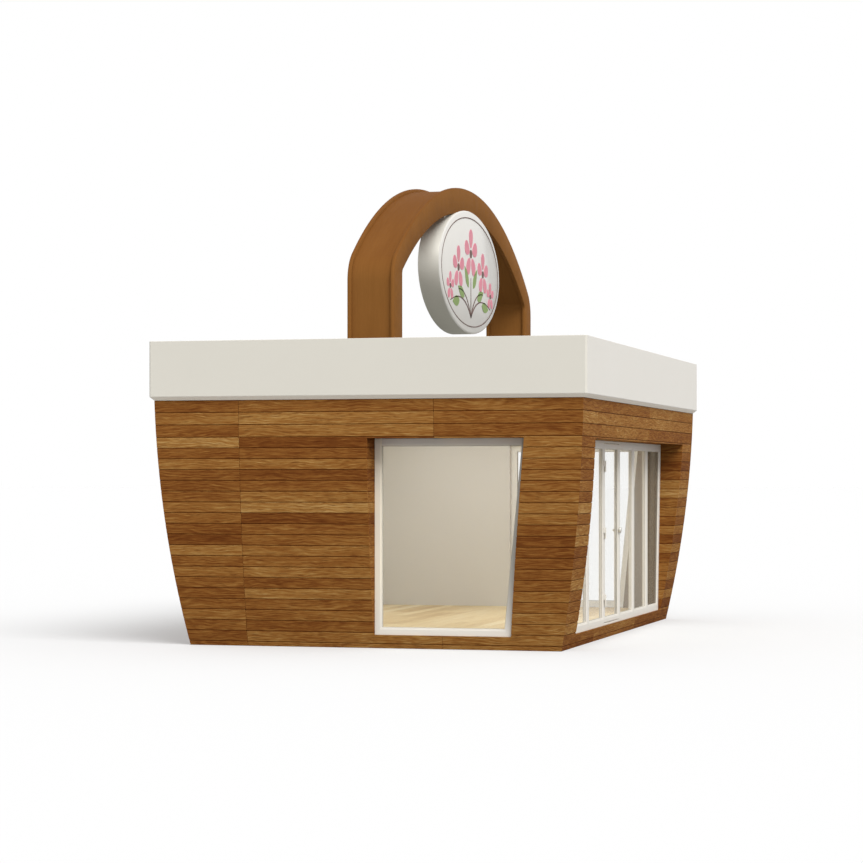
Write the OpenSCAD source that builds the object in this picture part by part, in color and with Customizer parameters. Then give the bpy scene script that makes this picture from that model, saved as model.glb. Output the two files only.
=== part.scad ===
// Prefabricated pavilion: boarded body that draws in towards the ground, planter box roof,
// basket handle arch with an oval sign box, glazed screen with one hinged door leaf.
// Millimetres, +Z up, front towards -Y, glazed screen towards +X, ground at Z 0.

/* [Roof box] */
// Outer width of the planter box, left to right
roof_w = 4800; // [4200:10:5600]
// Outer depth of the planter box, front to back
roof_d = 6800; // [6400:10:8000]
// Thickness of the planter box front boards, also their overhang past the walls
fascia_t = 45; // [30:1:70]
// Height of the bevel under the planter box boards
fascia_bevel = 40; // [15:1:80]
// Height of the planter box boards above the wall top
fascia_h = 635; // [400:5:800]
// Thickness of the roof deck
deck_t = 100; // [60:5:160]
// Clear width of the planter trough
trough_w = 180; // [120:5:260]
// Thickness of the inner planter boards
liner_t = 20; // [12:1:40]
// Drop of the inner planter boards below the rim of the box
liner_drop = 40; // [0:5:120]

/* [Walls] */
// Height of the walls
wall_h = 2635; // [2500:5:2900]
// Radius of the bulge of the outer wall face
bulge_r = 15000; // [12000:100:24000]
// Height at which the bulge would stand upright
bulge_z = 3000; // [2900:10:3400]
// Wall thickness at the foot
wall_t = 120; // [100:5:160]
// Thickness of the inner lining boards
lining_t = 12; // [9:1:25]
// Thickness of the ceiling board
ceiling_t = 20; // [12:1:40]

/* [Floor] */
// Height of the finished floor above the ground
floor_z = 140; // [110:5:200]
// Thickness of the floor boards
floor_board_t = 28; // [18:1:40]

/* [Openings] */
// Height of the openings above the floor
opening_h = 2085; // [2040:5:2200]
// Left edge of the end windows, from the middle line
window_left = 25; // [-400:5:300]
// Width of the wall between the window foot and the right corner, at the ground
window_pier = 536; // [420:2:700]
// How far the slanted side leans out over the opening height
window_lean = 200; // [100:5:260]
// Width of the wall between the screen foot and each corner, at the ground
screen_pier = 566; // [440:2:700]
// How far each screen end leans out over the opening height
screen_lean = 190; // [100:5:260]

/* [Frames and glass] */
// Fitting gap around each frame in its opening and around the sign box in the arch
fit_gap = 0.4; // [0.2:0.1:0.8]
// Width of the window frame members
window_frame_w = 80; // [55:1:110]
// Depth of the window frame
window_frame_d = 60; // [45:1:75]
// Width of the screen frame members
screen_frame_w = 25; // [18:1:45]
// Depth of the screen frame
screen_frame_d = 70; // [60:1:90]
// Width of the slanted end bays of the screen at the sill
end_bay_w = 760; // [500:5:800]
// Width of the leaf stiles and rails
stile_w = 66; // [45:1:75]
// Depth of the leaves
leaf_d = 50; // [40:1:58]
// Thickness of the glass units
glass_t = 20; // [8:1:28]
// Set back of the glass behind the outer frame face
glass_back = 16; // [12:1:20]

/* [Door] */
// Gap around the door leaf
door_gap = 8; // [6:0.5:12]
// Radius of the hinge knuckles
knuckle_r = 9; // [7:0.5:12]
// Length of one hinge knuckle
knuckle_l = 60; // [40:1:90]
// Width of a hinge plate on the leaf
plate_w = 46; // [30:1:52]
// Thickness of a hinge plate
plate_t = 12; // [9:0.5:14]
// Clear space between a hinge knuckle and the leaf it doesn't belong to
knuckle_clear = 6; // [5:0.5:8]
// Gap between hinge knuckles
knuckle_gap = 6; // [5:0.5:10]
// Distance of the end hinges from the ends of the leaf
hinge_in = 200; // [120:5:300]
// Radius of the hinge pins
pin_r = 4; // [3:0.5:5]
// Running clearance around the hinge pins
pin_play = 0.06; // [0.02:0.01:0.1]
// Diameter of the round knob
knob_d = 76; // [60:1:90]
// Thickness of the knob at its rounded edge
knob_t = 24; // [18:1:24]
// Diameter of the rose behind the knob
rose_d = 44; // [34:1:48]
// Thickness of the rose
rose_t = 6; // [3:0.5:10]
// Diameter of the knob neck
neck_d = 20; // [14:1:28]
// How far the knob stands out from the leaf
knob_out = 32; // [30:1:60]
// Diameter of the thumb turn on the room side
turn_d = 24; // [16:1:30]
// How far the thumb turn stands out from its rose
turn_out = 12; // [8:1:20]
// Height of the knob above the floor
knob_h = 1060; // [950:5:1150]

/* [Handle arch] */
// Thickness of the arch, left to right
arch_w = 520; // [400:5:600]
// Thickness of each cheek plate of the arch
cheek_t = 44; // [24:1:60]
// How far the band lies below the edges of the cheeks
band_dip = 36; // [10:1:50]
// Depth of each leg of the arch
leg_d = 325; // [260:5:480]
// Gap between each leg and the trough board beside it
leg_gap = 30; // [10:1:80]
// Height of the crown of the arch above the ground
crown_z = 5195; // [5100:5:5600]
// Radius of the outer curve of the arch
crown_r = 4940; // [4700:10:6000]
// Radius of the arch shoulders
shoulder_r = 380; // [250:5:480]
// Depth of the arch band at its crown
crown_band = 295; // [220:1:380]
// Radius of the inner curve of the arch
soffit_r = 4880; // [4600:10:5600]

/* [Sign box] */
// Length of the oval sign box
sign_l = 2760; // [2200:10:2900]
// Height of the oval sign box
sign_h = 1440; // [1000:10:1460]
// Thickness of the sign box
sign_t = 242; // [160:2:280]
// How far the sign panel stands out from the sign box
panel_t = 15; // [8:1:40]
// Width of the rim around the sign panel
rim_w = 3; // [2:1:60]
// How far the top of the sign box is let into the underside of the arch
sign_let = 45; // [20:1:60]

// Distance of each sign bracket from the middle of the sign
bracket_y = 800; // [700:10:900]
// Width of each sign bracket
bracket_w = 180; // [80:5:260]
// Set back of the brackets from the faces of the sign box
bracket_in = 20; // [10:1:60]

/* [Hidden] */
// Distance from the wall top face to the wall foot face
upright = sqrt(bulge_r * bulge_r - (bulge_z - wall_h) * (bulge_z - wall_h));
inset = upright - sqrt(bulge_r * bulge_r - bulge_z * bulge_z);
// Half sizes of the walls at the foot
foot_x = roof_w / 2 - fascia_t - inset;
foot_y = roof_d / 2 - fascia_t - inset;
room_x = foot_x - wall_t;
room_y = foot_y - wall_t;
head_z = floor_z + opening_h;
deck_z = wall_h + deck_t;
rim_z = wall_h + fascia_h;
// Lean of the slanted edges per unit of height
win_m = window_lean / opening_h;
scr_m = screen_lean / opening_h;
win_k = sqrt(1 + win_m * win_m);
scr_k = sqrt(1 + scr_m * scr_m);
big = roof_d + roof_w;
// Window, screen and leaf bays take what the corner piers leave
window_w = foot_x - window_pier - window_left;
screen_half = foot_y - screen_pier;
bay_w = (screen_half - end_bay_w) / 2;
// Bounds of the leaves inside the screen frame
leaf_lo = floor_z + screen_frame_w;
leaf_hi = head_z - screen_frame_w;
// Hinge axis of the door leaf
axis_x = foot_x + knuckle_r + knuckle_clear;
axis_y = door_gap / 2 - bay_w;
hinge_l = 2 * knuckle_l + knuckle_gap;
hinge_levels = [leaf_lo + hinge_in, (leaf_lo + leaf_hi - hinge_l) / 2, leaf_hi - hinge_in - hinge_l];
web_w = door_gap / 2 + plate_t - knuckle_clear;
// Arch
liner_in = roof_d / 2 - fascia_t - trough_w - liner_t;
leg_out = liner_in - leg_gap;
leg_in = leg_out - leg_d;
soffit_z = crown_z - crown_band;
crown_c = crown_z - crown_r;
shoulder_y = leg_out - shoulder_r;
shoulder_z = crown_c + sqrt((crown_r - shoulder_r) * (crown_r - shoulder_r) - shoulder_y * shoulder_y);
sign_x0 = arch_w / 2 - sign_t;
sign_z = soffit_z + sign_let - sign_h / 2;
oval_steps = 96;

// Which sub-part is drawn

function bulge(z) = sqrt(bulge_r * bulge_r - (bulge_z - z) * (bulge_z - z)) - upright + inset;
function win_x(z) = window_left + window_w + win_m * (z - floor_z);
function scr_y(z) = screen_half + scr_m * (z - floor_z);
function oval(a, b) = [for (i = [0 : oval_steps - 1])
  [a * cos(360 * i / oval_steps), b * sin(360 * i / oval_steps)]];

// Upright outline seen from the front, drawn through the body towards -Y
module elevation(points) {
  rotate([90, 0, 0]) linear_extrude(height = big) polygon(points);
}

// Slice of an upright outline between two depths measured from the middle towards -Y
module slice(points, near, far) {
  translate([0, -near, 0]) rotate([90, 0, 0]) linear_extrude(height = far - near) polygon(points);
}

// Whole wall with its outer face towards -Y, bulged outside, upright inside, mitred at both ends
module wall_blank(foot, other) {
  intersection() {
    translate([0, upright - foot - inset, bulge_z]) rotate([0, 90, 0])
      cylinder(r = bulge_r, h = 2 * big, center = true, $fn = 2880);
    linear_extrude(height = wall_h) polygon([
      [-(other - wall_t), -(foot - wall_t)], [other - wall_t, -(foot - wall_t)],
      [other + inset, -(foot + inset)], [-(other + inset), -(foot + inset)]]);
  }
}

module end_wall(points) {
  intersection() {
    wall_blank(foot_y, foot_x);
    elevation(points);
  }
}

module side_wall(points) {
  rotate([0, 0, 90]) intersection() {
    wall_blank(foot_x, foot_y);
    elevation(points);
  }
}

module end_left() {
  end_wall([[-big, -1], [window_left, -1], [window_left, wall_h + 1], [-big, wall_h + 1]]);
}

module end_right() {
  end_wall([[win_x(floor_z), -1], [big, -1], [big, wall_h + 1], [win_x(wall_h), wall_h],
    [win_x(floor_z), floor_z]]);
}

module end_header() {
  end_wall([[window_left, head_z], [win_x(head_z), head_z], [win_x(wall_h), wall_h],
    [window_left, wall_h]]);
}

// Straight bar under an opening, with its outer face sloped to meet the bulge
module sill_bar(a, b, foot) {
  translate([a, 0, 0]) rotate([90, 0, 90]) linear_extrude(height = b - a)
    polygon([[-(foot - wall_t), 0], [-foot, 0], [-(foot + bulge(floor_z)), floor_z], [-(foot - wall_t), floor_z]]);
}

module end_sill() {
  sill_bar(window_left, win_x(floor_z), foot_y);
}

module end_lining() {
  difference() {
    translate([-room_x, -room_y, floor_z]) cube([2 * room_x, lining_t, wall_h - ceiling_t - floor_z]);
    elevation(win_opening());
  }
}

function win_opening() = [[window_left, floor_z], [win_x(floor_z), floor_z], [win_x(head_z), head_z],
  [window_left, head_z]];
function win_outer() = [[window_left + fit_gap, floor_z], [win_x(floor_z) - fit_gap * win_k, floor_z],
  [win_x(head_z - fit_gap) - fit_gap * win_k, head_z - fit_gap], [window_left + fit_gap, head_z - fit_gap]];
function win_inner() = [[window_left + window_frame_w, floor_z + window_frame_w],
  [win_x(floor_z + window_frame_w) - window_frame_w * win_k, floor_z + window_frame_w],
  [win_x(head_z - window_frame_w) - window_frame_w * win_k, head_z - window_frame_w],
  [window_left + window_frame_w, head_z - window_frame_w]];

module window_frame() {
  difference() {
    slice(win_outer(), foot_y - window_frame_d, foot_y);
    elevation(win_inner());
  }
}

module window_glass() {
  slice(win_inner(), foot_y - glass_back - glass_t, foot_y - glass_back);
}

function scr_opening() = [[-scr_y(floor_z), floor_z], [scr_y(floor_z), floor_z],
  [scr_y(head_z), head_z], [-scr_y(head_z), head_z]];
// Outline inside the slanted end at a given distance from the opening edge
function scr_end(z, back) = scr_y(z) - back * scr_k;
function scr_outer() = [[-scr_end(floor_z, fit_gap), floor_z], [scr_end(floor_z, fit_gap), floor_z],
  [scr_end(head_z - fit_gap, fit_gap), head_z - fit_gap], [-scr_end(head_z - fit_gap, fit_gap), head_z - fit_gap]];
function scr_inner() = [[-scr_end(leaf_lo, screen_frame_w), leaf_lo],
  [scr_end(leaf_lo, screen_frame_w), leaf_lo], [scr_end(leaf_hi, screen_frame_w), leaf_hi],
  [-scr_end(leaf_hi, screen_frame_w), leaf_hi]];
// Straight leaf outline between two places along the screen
function bay(a, b, lo, hi) = [[a, lo], [b, lo], [b, hi], [a, hi]];
// Slanted end leaf at the back of the screen
function end_bay(a, back, lo, hi) = [[a, lo], [scr_end(lo, back), lo], [scr_end(hi, back), hi], [a, hi]];

module leaf(a, b) {
  difference() {
    slice(bay(a, b, leaf_lo, leaf_hi), foot_x - leaf_d, foot_x);
    elevation(bay(a + stile_w, b - stile_w, leaf_lo + stile_w, leaf_hi - stile_w));
  }
}

module leaf_pane(a, b) {
  slice(bay(a + stile_w, b - stile_w, leaf_lo + stile_w, leaf_hi - stile_w),
    foot_x - glass_back - glass_t, foot_x - glass_back);
}

module end_leaf() {
  difference() {
    slice(end_bay(2 * bay_w, screen_frame_w, leaf_lo, leaf_hi), foot_x - leaf_d, foot_x);
    elevation(end_bay(2 * bay_w + stile_w, screen_frame_w + stile_w, leaf_lo + stile_w, leaf_hi - stile_w));
  }
}

module end_leaf_pane() {
  slice(end_bay(2 * bay_w + stile_w, screen_frame_w + stile_w, leaf_lo + stile_w, leaf_hi - stile_w),
    foot_x - glass_back - glass_t, foot_x - glass_back);
}

module fascia(half, other) {
  intersection() {
    translate([-big / 2, -half, 0]) rotate([90, 0, 90]) linear_extrude(height = big)
      polygon([[0, wall_h + fascia_bevel], [fascia_t, wall_h], [fascia_t, rim_z], [0, rim_z]]);
    linear_extrude(height = rim_z + 1) polygon([
      [-(other - fascia_t), -(half - fascia_t)], [other - fascia_t, -(half - fascia_t)],
      [other, -half], [-other, -half]]);
  }
}

// Side outline of the arch, drawn thinner by a given dip along its outer and inner curves
module arch_outline(dip) {
  r = shoulder_r - dip;
  tilt = [shoulder_y, shoulder_z - crown_c] / (crown_r - shoulder_r);
  difference() {
    intersection() {
      translate([0, crown_c]) circle(r = crown_r - dip, $fn = 720);
      translate([-(leg_out - dip), deck_z]) square([2 * (leg_out - dip), crown_z - deck_z]);
    }
    for (s = [-1, 1]) difference() {
      polygon([[s * shoulder_y, shoulder_z], [s * (shoulder_y + 2 * r), shoulder_z],
        [s * (shoulder_y + 2 * r), shoulder_z + 2 * r],
        [s * (shoulder_y + 2 * r * tilt[0]), shoulder_z + 2 * r * tilt[1]]]);
      translate([s * shoulder_y, shoulder_z]) circle(r = r, $fn = 96);
    }
    intersection() {
      translate([0, soffit_z - soffit_r]) circle(r = soffit_r + dip, $fn = 720);
      translate([-(leg_in + dip), deck_z - leg_d]) square([2 * (leg_in + dip), crown_z]);
    }
  }
}

module arch_slab(x0, x1, dip) {
  translate([x0, 0, 0]) rotate([90, 0, 90]) linear_extrude(height = x1 - x0) arch_outline(dip);
}

module oval_slab(x0, x1, cut) {
  translate([x0, 0, sign_z]) rotate([90, 0, 90]) linear_extrude(height = x1 - x0)
    polygon(oval(sign_l / 2 - cut, sign_h / 2 - cut));
}

// One half of a hinge: a knuckle on the axis and a plate on the leaf beside it
module hinge_at(z, side) {
  translate([axis_x, axis_y, z]) cylinder(r = knuckle_r, h = knuckle_l, $fn = 48);
  translate([foot_x, side > 0 ? -bay_w - plate_w : door_gap - bay_w, z])
    cube([plate_t, plate_w, knuckle_l]);
  translate([foot_x + knuckle_clear, side > 0 ? axis_y - web_w : axis_y, z])
    cube([plate_t - knuckle_clear, web_w, knuckle_l]);
}

module floor_base() {
  color([0.42, 0.43, 0.44]) translate([-room_x, -room_y, 0])
    cube([2 * room_x, 2 * room_y, floor_z - floor_board_t]);
}

module floor_boards() {
  color([0.88, 0.80, 0.62]) translate([-room_x, -room_y, floor_z - floor_board_t])
    cube([2 * room_x, 2 * room_y, floor_board_t]);
}

module front_wall_left() {
  color([0.52, 0.36, 0.19]) end_left();
}

module front_wall_right() {
  color([0.52, 0.36, 0.19]) end_right();
}

module front_header() {
  color([0.52, 0.36, 0.19]) end_header();
}

module front_sill() {
  color([0.52, 0.36, 0.19]) end_sill();
}

module back_wall_left() {
  color([0.52, 0.36, 0.19]) mirror([0, 1, 0]) end_left();
}

module back_wall_right() {
  color([0.52, 0.36, 0.19]) mirror([0, 1, 0]) end_right();
}

module back_header() {
  color([0.52, 0.36, 0.19]) mirror([0, 1, 0]) end_header();
}

module back_sill() {
  color([0.52, 0.36, 0.19]) mirror([0, 1, 0]) end_sill();
}

module right_wall_back() {
  color([0.52, 0.36, 0.19]) side_wall([[scr_y(floor_z), -1], [big, -1], [big, wall_h + 1],
    [scr_y(wall_h), wall_h], [scr_y(floor_z), floor_z]]);
}

module right_wall_front() {
  mirror([0, 1, 0]) right_wall_back();
}

module right_header() {
  color([0.52, 0.36, 0.19]) side_wall([[-scr_y(head_z), head_z], [scr_y(head_z), head_z],
    [scr_y(wall_h), wall_h], [-scr_y(wall_h), wall_h]]);
}

module right_sill() {
  color([0.52, 0.36, 0.19]) rotate([0, 0, 90]) sill_bar(-screen_half, screen_half, foot_x);
}

module left_wall() {
  color([0.52, 0.36, 0.19]) rotate([0, 0, -90]) wall_blank(foot_x, foot_y);
}

module front_lining() {
  color([0.80, 0.76, 0.68]) end_lining();
}

module back_lining() {
  color([0.80, 0.76, 0.68]) mirror([0, 1, 0]) end_lining();
}

module right_lining() {
  color([0.80, 0.76, 0.68]) difference() {
    translate([room_x - lining_t, -(room_y - lining_t), floor_z])
      cube([lining_t, 2 * (room_y - lining_t), wall_h - ceiling_t - floor_z]);
    rotate([0, 0, 90]) elevation(scr_opening());
  }
}

module left_lining() {
  color([0.80, 0.76, 0.68]) translate([-room_x, -(room_y - lining_t), floor_z])
    cube([lining_t, 2 * (room_y - lining_t), wall_h - ceiling_t - floor_z]);
}

module ceiling() {
  color([0.90, 0.89, 0.86]) translate([-room_x, -room_y, wall_h - ceiling_t])
    cube([2 * room_x, 2 * room_y, ceiling_t]);
}

module front_window_frame() {
  color([0.90, 0.89, 0.86]) window_frame();
}

module front_window_glass() {
  color([0.80, 0.88, 0.88, 0.35]) window_glass();
}

module back_window_frame() {
  color([0.90, 0.89, 0.86]) mirror([0, 1, 0]) window_frame();
}

module back_window_glass() {
  color([0.80, 0.88, 0.88, 0.35]) mirror([0, 1, 0]) window_glass();
}

module screen_frame() {
  color([0.90, 0.89, 0.86]) rotate([0, 0, 90]) difference() {
    slice(scr_outer(), foot_x - screen_frame_d, foot_x);
    elevation(scr_inner());
  }
}

module screen_leaves_front() {
  color([0.90, 0.89, 0.86]) rotate([0, 0, 90]) {
    mirror([1, 0, 0]) end_leaf();
    leaf(-2 * bay_w, -bay_w);
  }
}

module screen_leaves_back() {
  color([0.90, 0.89, 0.86]) rotate([0, 0, 90]) {
    leaf(0, bay_w);
    leaf(bay_w, 2 * bay_w);
    end_leaf();
  }
}

module screen_glass_front() {
  color([0.80, 0.88, 0.88, 0.35]) rotate([0, 0, 90]) {
    mirror([1, 0, 0]) end_leaf_pane();
    leaf_pane(-2 * bay_w, -bay_w);
  }
}

module screen_glass_back() {
  color([0.80, 0.88, 0.88, 0.35]) rotate([0, 0, 90]) {
    leaf_pane(0, bay_w);
    leaf_pane(bay_w, 2 * bay_w);
    end_leaf_pane();
  }
}

module door_leaf() {
  color([0.90, 0.89, 0.86]) rotate([0, 0, 90]) difference() {
    slice(bay(door_gap - bay_w, -door_gap, leaf_lo + door_gap, leaf_hi - door_gap), foot_x - leaf_d, foot_x);
    elevation(bay(stile_w - bay_w, -stile_w, leaf_lo + stile_w, leaf_hi - stile_w));
  }
}

module door_glass() {
  color([0.80, 0.88, 0.88, 0.35]) rotate([0, 0, 90]) leaf_pane(-bay_w, 0);
}

// Round knob on its rose, standing out along +X from the leaf face
module knob() {
  rotate([0, 90, 0]) cylinder(d = rose_d, h = rose_t, $fn = 48);
  rotate([0, 90, 0]) cylinder(d = neck_d, h = knob_out - knob_t / 2, $fn = 32);
  translate([knob_out - knob_t, 0, 0]) rotate([0, 90, 0]) {
    cylinder(d = knob_d - knob_t, h = knob_t, $fn = 64);
    rotate_extrude($fn = 64) translate([(knob_d - knob_t) / 2, knob_t / 2]) circle(d = knob_t, $fn = 48);
  }
}

// Low thumb turn on the room side of the door
module thumb_turn() {
  rotate([0, 90, 0]) cylinder(d = rose_d, h = rose_t, $fn = 48);
  translate([rose_t, 0, 0]) rotate([0, 90, 0]) cylinder(d = turn_d, h = turn_out, $fn = 32);
}

module door_knob() {
  mid = -(door_gap + stile_w) / 2;
  color([0.75, 0.75, 0.74]) {
    translate([foot_x, mid, floor_z + knob_h]) knob();
    translate([foot_x - leaf_d, mid, floor_z + knob_h]) mirror([1, 0, 0]) thumb_turn();
  }
}

module door_hinges() {
  color([0.75, 0.75, 0.74]) for (z = hinge_levels) difference() {
    hinge_at(z, -1);
    translate([axis_x, axis_y, z - 1]) cylinder(r = pin_r + pin_play, h = knuckle_l + 2, $fn = 48);
  }
}

module frame_hinges() {
  color([0.75, 0.75, 0.74]) for (z = hinge_levels) {
    hinge_at(z + knuckle_l + knuckle_gap, 1);
    translate([axis_x, axis_y, z]) cylinder(r = pin_r, h = 2 * knuckle_l + knuckle_gap, $fn = 48);
  }
}

module roof_deck() {
  color([0.55, 0.55, 0.53]) translate([-(roof_w / 2 - fascia_t), -(roof_d / 2 - fascia_t), wall_h])
    cube([roof_w - 2 * fascia_t, roof_d - 2 * fascia_t, deck_t]);
}

module fascia_front() {
  color([0.91, 0.90, 0.87]) fascia(roof_d / 2, roof_w / 2);
}

module fascia_back() {
  color([0.91, 0.90, 0.87]) mirror([0, 1, 0]) fascia(roof_d / 2, roof_w / 2);
}

module fascia_left() {
  color([0.91, 0.90, 0.87]) rotate([0, 0, -90]) fascia(roof_w / 2, roof_d / 2);
}

module fascia_right() {
  color([0.91, 0.90, 0.87]) rotate([0, 0, 90]) fascia(roof_w / 2, roof_d / 2);
}

module planter_boards_ends() {
  color([0.84, 0.83, 0.80]) for (s = [-1, 1]) translate([0, s * (liner_in + liner_t / 2),
    (deck_z + rim_z - liner_drop) / 2])
    cube([roof_w - 2 * fascia_t - 2 * trough_w, liner_t, rim_z - liner_drop - deck_z], center = true);
}

module planter_boards_sides() {
  color([0.84, 0.83, 0.80]) for (s = [-1, 1])
    translate([s * (roof_w / 2 - fascia_t - trough_w - liner_t / 2), 0, (deck_z + rim_z - liner_drop) / 2])
    cube([liner_t, 2 * liner_in, rim_z - liner_drop - deck_z], center = true);
}

module handle_band() {
  color([0.50, 0.33, 0.17]) difference() {
    arch_slab(-(arch_w / 2 - cheek_t), arch_w / 2 - cheek_t, band_dip);
    oval_slab(sign_x0 - fit_gap, arch_w / 2, -fit_gap);
  }
}

module handle_cheek_right() {
  color([0.56, 0.38, 0.20]) difference() {
    arch_slab(arch_w / 2 - cheek_t, arch_w / 2, 0);
    oval_slab(sign_x0, arch_w / 2 + 1, -fit_gap);
  }
}

module handle_cheek_left() {
  color([0.56, 0.38, 0.20]) arch_slab(-arch_w / 2, -(arch_w / 2 - cheek_t), 0);
}

module sign_box() {
  color([0.86, 0.85, 0.83]) oval_slab(sign_x0, arch_w / 2, 0);
}

module sign_panel() {
  color([0.93, 0.92, 0.90]) oval_slab(arch_w / 2, arch_w / 2 + panel_t, rim_w);
}

module sign_brackets() {
  color([0.45, 0.45, 0.45]) difference() {
    intersection() {
      for (s = [-1, 1]) translate([sign_x0 + bracket_in, s * bracket_y - bracket_w / 2, sign_z])
        cube([sign_t - cheek_t - 2 * bracket_in, bracket_w, sign_h]);
      translate([0, 0, soffit_z - soffit_r]) rotate([0, 90, 0])
        cylinder(r = soffit_r + band_dip, h = 2 * arch_w, center = true, $fn = 2880);
    }
    oval_slab(sign_x0 - 1, arch_w / 2 + 1, 0);
  }
}

floor_base();
floor_boards();
front_wall_left();
front_wall_right();
front_header();
front_sill();
back_wall_left();
back_wall_right();
back_header();
back_sill();
right_wall_front();
right_wall_back();
right_header();
right_sill();
left_wall();
front_lining();
back_lining();
right_lining();
left_lining();
ceiling();
front_window_frame();
front_window_glass();
back_window_frame();
back_window_glass();
screen_frame();
screen_leaves_front();
screen_leaves_back();
screen_glass_front();
screen_glass_back();
door_leaf();
door_glass();
door_knob();
door_hinges();
frame_hinges();
roof_deck();
fascia_front();
fascia_back();
fascia_left();
fascia_right();
planter_boards_ends();
planter_boards_sides();
handle_band();
handle_cheek_right();
handle_cheek_left();
sign_box();
sign_panel();
sign_brackets();
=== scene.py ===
import math
import random

import bmesh
import bpy
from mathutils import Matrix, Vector


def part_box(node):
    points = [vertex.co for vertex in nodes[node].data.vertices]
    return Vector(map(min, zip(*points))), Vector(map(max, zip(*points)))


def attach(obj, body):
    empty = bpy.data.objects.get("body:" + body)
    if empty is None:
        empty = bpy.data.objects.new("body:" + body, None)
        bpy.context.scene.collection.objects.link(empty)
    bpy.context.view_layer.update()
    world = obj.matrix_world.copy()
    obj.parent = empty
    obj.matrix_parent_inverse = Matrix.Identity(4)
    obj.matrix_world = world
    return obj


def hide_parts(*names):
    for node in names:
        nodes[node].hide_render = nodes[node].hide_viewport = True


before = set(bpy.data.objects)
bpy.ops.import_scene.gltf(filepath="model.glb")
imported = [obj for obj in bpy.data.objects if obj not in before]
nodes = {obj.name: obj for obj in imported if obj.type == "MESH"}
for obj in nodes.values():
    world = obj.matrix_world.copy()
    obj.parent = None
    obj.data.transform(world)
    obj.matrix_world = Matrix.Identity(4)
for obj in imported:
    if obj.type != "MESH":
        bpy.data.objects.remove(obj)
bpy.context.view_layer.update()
dice = random.Random(47)
print("frame loaded with", len(nodes), "nodes")


def linear(red, green, blue):  # 0 to 255 as seen on screen
    def channel(value):
        value /= 255
        return value / 12.92 if value <= 0.04045 else ((value + 0.055) / 1.055) ** 2.4
    return (channel(red), channel(green), channel(blue), 1.0)


class Wire:  # one output of a node; operators on it add Math nodes
    def __init__(self, finish, socket):
        self.finish = finish
        self.socket = socket

    def reckon(self, operation, first, second):
        return self.finish.node("ShaderNodeMath", {"operation": operation}, {0: first, 1: second})

    def __add__(self, other):
        return self.reckon("ADD", self, other)

    def __radd__(self, other):
        return self.reckon("ADD", other, self)

    def __sub__(self, other):
        return self.reckon("SUBTRACT", self, other)

    def __rsub__(self, other):
        return self.reckon("SUBTRACT", other, self)

    def __mul__(self, other):
        return self.reckon("MULTIPLY", self, other)

    def __rmul__(self, other):
        return self.reckon("MULTIPLY", other, self)


class Finish:  # one material, or the world, and the nodes it is made of
    def __init__(self, name, isWorld=False):
        self.owner = (bpy.data.worlds if isWorld else bpy.data.materials).new(name)
        self.owner.use_nodes = True
        self.tree = self.owner.node_tree
        self.tree.nodes.clear()
        self.output = self.tree.nodes.new("ShaderNodeOutputWorld" if isWorld else "ShaderNodeOutputMaterial")

    def node(self, kind, settings=None, sockets=None, out=0):
        made = self.tree.nodes.new(kind)
        for key, value in (settings or {}).items():
            if key == "stops":
                while len(made.color_ramp.elements) < len(value):
                    made.color_ramp.elements.new(0.5)
                for element, (place, colour) in zip(made.color_ramp.elements, value):
                    element.position = place
                    element.color = colour
            else:
                setattr(made, key, value)
        for key, value in (sockets or {}).items():
            if isinstance(value, Wire):
                self.tree.links.new(value.socket, made.inputs[key])
            else:
                made.inputs[key].default_value = value
        return Wire(self, made.outputs[out])

    def attribute(self, name, out):
        return self.node("ShaderNodeAttribute", {"attribute_name": name}, {}, out)

    def place(self):
        return self.node("ShaderNodeTexCoord", {}, {}, "Object")

    def part(self, vector, axis):  # one coordinate of a vector
        return self.node("ShaderNodeSeparateXYZ", {}, {0: vector}, axis)

    def between(self, value, low, high, start=0.0, end=1.0):  # start to end as the value goes low to high
        return self.node("ShaderNodeMapRange", {}, {0: value, 1: low, 2: high, 3: start, 4: end})

    def noise(self, vector, scale, detail=3, rough=0.5):
        stretched = self.node("ShaderNodeVectorMath", {"operation": "MULTIPLY"}, {0: vector, 1: scale})
        return self.node("ShaderNodeTexNoise", {},
                         {"Vector": stretched, "Scale": 1, "Detail": detail, "Roughness": rough})

    def blend(self, share, first, second):
        return self.node("ShaderNodeMix", {"data_type": "RGBA"}, {0: share, 6: first, 7: second}, 2)

    def bump(self, height, strength, distance):
        return self.node("ShaderNodeBump", {}, {"Strength": strength, "Distance": distance, "Height": height})

    def wear(self, shader):  # the shader goes to the output
        self.tree.links.new(shader.socket, self.output.inputs["Surface"])
        return self.owner

    def close(self, **sockets):
        named = {key.replace("_", " "): value for key, value in sockets.items()}
        return self.wear(self.node("ShaderNodeBsdfPrincipled", {}, named))


cladding = dict(
    stops=[(0.0, linear(86, 42, 15)), (0.3, linear(118, 69, 29)), (0.55, linear(142, 93, 43)),
           (0.8, linear(163, 119, 63)), (1.0, linear(184, 145, 89))],
    wave=0.09, broad=0.45, band=0.75, streak=0.95, figure=0.08, tick=0.75, pore=0.20,
    rough=0.66, bump=0.35, shine=0.02)
arch = dict(
    stops=[(0.0, linear(112, 70, 30)), (0.5, linear(130, 86, 41)), (1.0, linear(145, 99, 51))],
    wave=0.02, broad=0.35, band=0.30, streak=0.22, figure=0.01, tick=0.12, pore=0.08,
    rough=0.66, bump=0.08, shine=0.03)
flooring = dict(
    stops=[(0.0, linear(204, 173, 122)), (0.5, linear(236, 215, 170)), (1.0, linear(248, 234, 199))],
    wave=0.03, broad=0.5, band=0.9, streak=0.6, figure=0.06, tick=0.3, pore=0.10,
    rough=0.42, bump=0.15, shine=0.35)
grainScale = dict(  # how often each figure repeats in a metre: along the board, across and into it
    wave=(2.4, 4, 4), broad=(0.9, 7, 7), band=(4, 55, 55), streak=(9, 200, 200), dash=(7, 180, 180),
    pore=(16, 620, 620), rings=190, ringDrift=46)
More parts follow.
